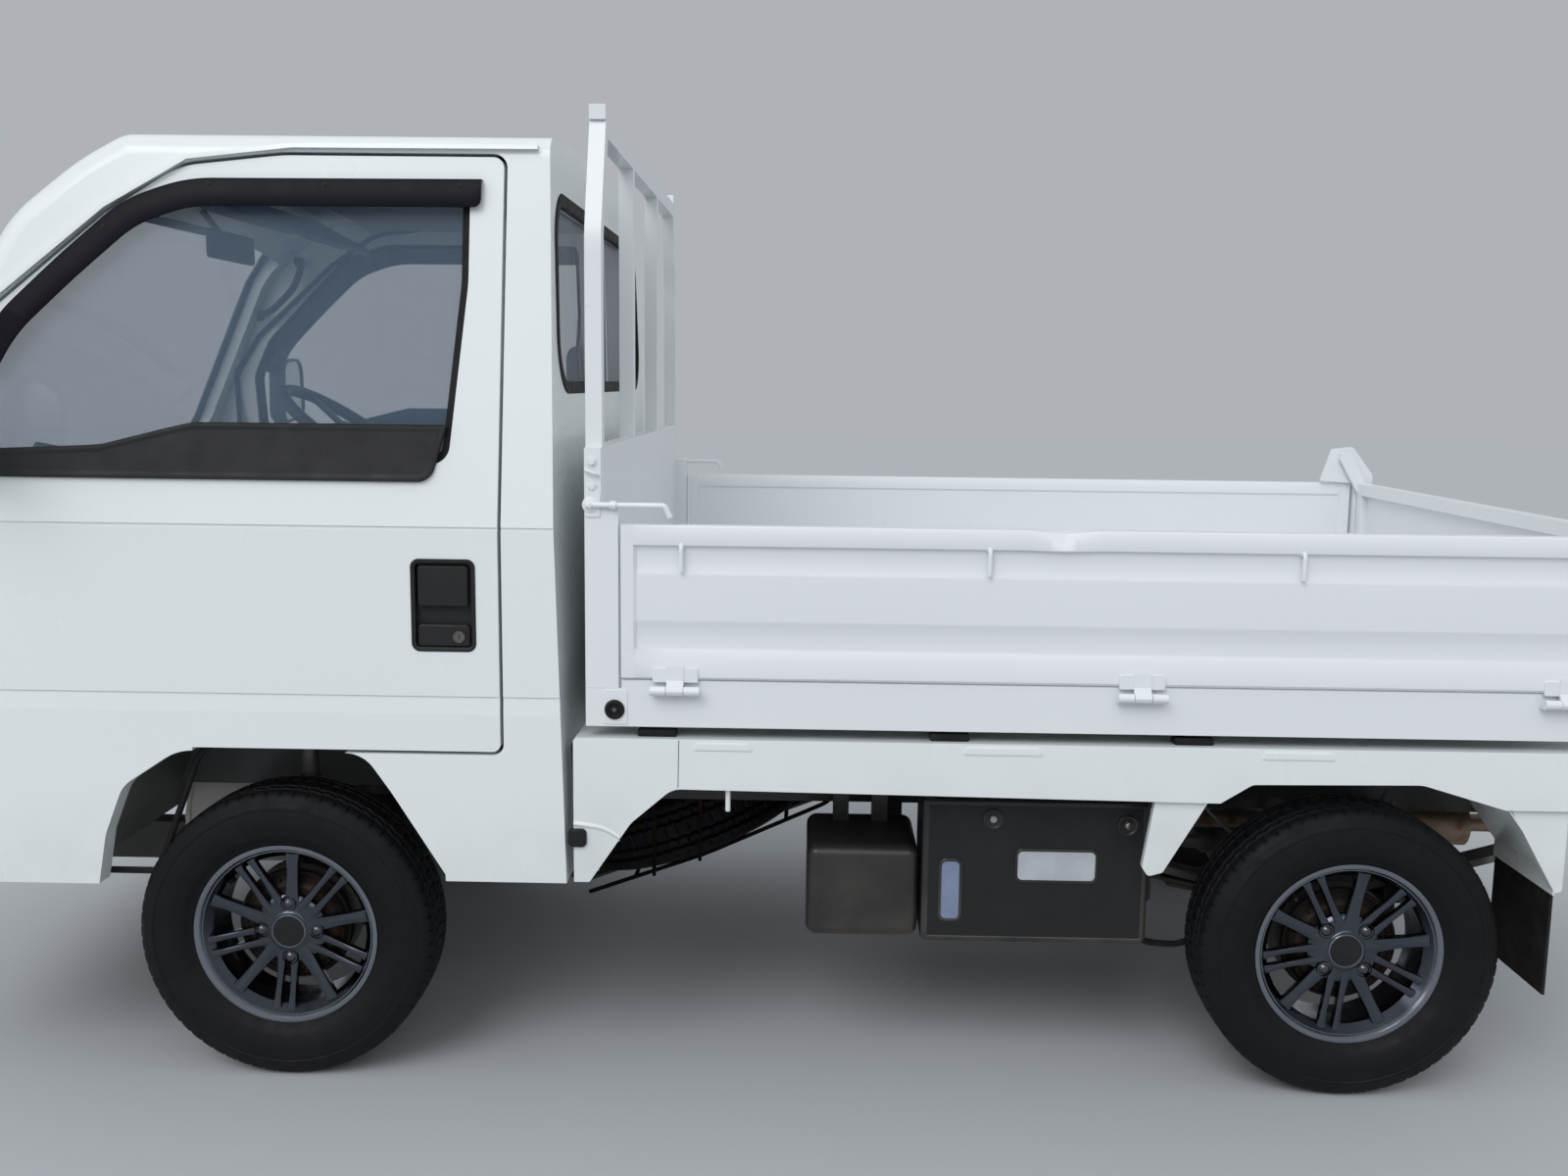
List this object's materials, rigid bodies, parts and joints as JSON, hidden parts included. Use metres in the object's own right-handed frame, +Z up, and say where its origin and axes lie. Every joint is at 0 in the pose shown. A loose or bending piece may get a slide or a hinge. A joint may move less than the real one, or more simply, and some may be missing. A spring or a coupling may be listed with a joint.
{
  "type": "light tipping truck",
  "caption": "Small cab-over truck with a tipping load bed, fold-down side gates, top-hung tailgate, two-seat cab and steered front wheels.",
  "frame": {"origin": "on the ground under the middle of the truck's length and width", "axes": "+X forward, +Y to the truck's left, +Z up"},
  "size_m": [3.255, 1.8, 1.7199],
  "materials": {
    "white_paint": "worn white enamel",
    "frame_paint": "dusty black chassis paint",
    "black_metal": "satin black",
    "hook_paint": "faded orange red",
    "bumper_plastic": "textured dark grey",
    "black_plastic": "weathered black",
    "trim_plastic": "grained grey",
    "cabin_floor": "matt grey",
    "seat_cloth": "woven grey",
    "tinted_glass": "clear, faintly green",
    "lamp_clear": "clear lens",
    "lamp_red": "red lens",
    "rim_alloy": "gunmetal with a polished lip",
    "steel_grey": "bare, dull",
    "bright_rod": "bright",
    "exhaust_steel": "heat-browned",
    "cast_engine": "as cast",
    "flap_rubber": "dusty",
    "tyre": "dusty black"
  },
  "bodies": {
    "root": {"battery_box": "black_plastic", "cab_body": "white_paint", "cab_controls": "trim_plastic", "cab_floor": "cabin_floor", "chassis_frame": "frame_paint", "dashboard": "trim_plastic", "engine_block": "cast_engine", "exhaust": "exhaust_steel", "front_arms": "frame_paint", "front_bumper": "bumper_plastic", "front_lamps": "lamp_clear", "fuel_tank": "black_metal", "leaf_springs": "steel_grey", "lower_deck": "white_paint", "mud_flaps": "flap_rubber", "rear_axle": "steel_grey", "rear_bumper": "black_metal", "rear_lamps": "lamp_red", "rear_window": "tinted_glass", "seat_left": "seat_cloth", "seat_right": "seat_cloth", "spare_rim": "steel_grey", "spare_tyre": "tyre", "tow_hook": "hook_paint", "windscreen": "tinted_glass", "wipers": "black_plastic"},
    "bed": {"bed_floor": "white_paint", "headboard": "white_paint", "rear_posts": "white_paint", "gate_latches": "bright_rod"},
    "side_gate_left": {"side_gate_left": "white_paint"},
    "side_gate_right": {"side_gate_right": "white_paint"},
    "tailgate": {"tailgate": "white_paint"},
    "hoist_barrel": {"hoist_barrel": "frame_paint"},
    "hoist_rod": {"hoist_rod": "bright_rod"},
    "door_left": {"door_left": "white_paint", "door_glass_left": "tinted_glass", "door_trim_left": "black_plastic", "mirror_left": "black_plastic"},
    "door_right": {"door_right": "white_paint", "door_glass_right": "tinted_glass", "door_trim_right": "black_plastic", "mirror_right": "black_plastic"},
    "knuckle_left": {"knuckle_left": "steel_grey"},
    "knuckle_right": {"knuckle_right": "steel_grey"},
    "wheel_front_left": {"tyre_front_left": "tyre", "rim_front_left": "rim_alloy"},
    "wheel_front_right": {"tyre_front_right": "tyre", "rim_front_right": "rim_alloy"},
    "wheel_rear_left": {"tyre_rear_left": "tyre", "rim_rear_left": "rim_alloy"},
    "wheel_rear_right": {"tyre_rear_right": "tyre", "rim_rear_right": "rim_alloy"},
    "steering_wheel": {"steering_wheel": "black_plastic"},
    "tie_rods": {"tie_rods": "bright_rod"}
  },
  "joints": [
    {"name": "bed_tilt", "type": "hinge", "parent": "root", "child": "bed", "pos_m": [-1.5275, 0, 0.655], "axis": [0, -1, 0], "range_deg": [0, 45]},
    {"name": "barrel_pivot", "type": "hinge", "parent": "root", "child": "hoist_barrel", "pos_m": [-0.3575, 0, 0.412], "axis": [0, 1, 0], "range_deg": [0, 22.3]},
    {"name": "rod_slide", "type": "slide", "parent": "hoist_barrel", "child": "hoist_rod", "axis": [-0.9533, 0, 0.3019], "range_m": [0, 0.3207]},
    {"name": "gate_left_drop", "type": "hinge", "parent": "bed", "child": "side_gate_left", "pos_m": [-0.661, 0.71, 0.735], "axis": [-1, 0, 0], "range_deg": [0, 180]},
    {"name": "gate_right_drop", "type": "hinge", "parent": "bed", "child": "side_gate_right", "pos_m": [-0.661, -0.71, 0.735], "axis": [1, 0, 0], "range_deg": [0, 180]},
    {"name": "tailgate_swing", "type": "hinge", "parent": "bed", "child": "tailgate", "pos_m": [-1.4965, 0, 1.086], "axis": [0, 1, 0], "range_deg": [0, 100]},
    {"name": "door_left_swing", "type": "hinge", "parent": "root", "child": "door_left", "pos_m": [1.3645, 0.6945, 0.8], "axis": [0, 0, -1], "range_deg": [0, 65]},
    {"name": "door_right_swing", "type": "hinge", "parent": "root", "child": "door_right", "pos_m": [1.3645, -0.6945, 0.8], "axis": [0, 0, 1], "range_deg": [0, 65]},
    {"name": "steer_left", "type": "hinge", "parent": "root", "child": "knuckle_left", "pos_m": [0.8125, 0.5, 0.266], "axis": [0, 0, 1], "range_deg": [-33, 33]},
    {"name": "steer_right", "type": "hinge", "parent": "root", "child": "knuckle_right", "pos_m": [0.8125, -0.5, 0.266], "axis": [0, 0, 1], "range_deg": [-33, 33]},
    {"name": "rack_slide", "type": "slide", "parent": "root", "child": "tie_rods", "axis": [0, 1, 0], "range_m": [-0.056, 0.056]},
    {"name": "steering_turn", "type": "hinge", "parent": "root", "child": "steering_wheel", "pos_m": [0.9725, -0.33, 1.12], "axis": [-0.5736, 0, 0.8191], "range_deg": [-530, 530]},
    {"name": "spin_front_left", "type": "hinge", "parent": "knuckle_left", "child": "wheel_front_left", "pos_m": [0.8125, 0.6, 0.266], "axis": [0, 1, 0], "continuous": true},
    {"name": "spin_front_right", "type": "hinge", "parent": "knuckle_right", "child": "wheel_front_right", "pos_m": [0.8125, -0.6, 0.266], "axis": [0, 1, 0], "continuous": true},
    {"name": "spin_rear_left", "type": "hinge", "parent": "root", "child": "wheel_rear_left", "pos_m": [-1.0875, 0.6, 0.266], "axis": [0, 1, 0], "continuous": true},
    {"name": "spin_rear_right", "type": "hinge", "parent": "root", "child": "wheel_rear_right", "pos_m": [-1.0875, -0.6, 0.266], "axis": [0, 1, 0], "continuous": true}
  ],
  "couplings": [
    {"joint": "barrel_pivot", "follows": "bed_tilt", "ratio": 0.4949},
    {"joint": "rod_slide", "follows": "bed_tilt", "m_per_rad": 0.40824},
    {"joint": "steer_right", "follows": "steer_left", "ratio": 1},
    {"joint": "rack_slide", "follows": "steer_left", "m_per_rad": -0.0946},
    {"joint": "steering_turn", "follows": "steer_left", "ratio": 16}
  ]
}
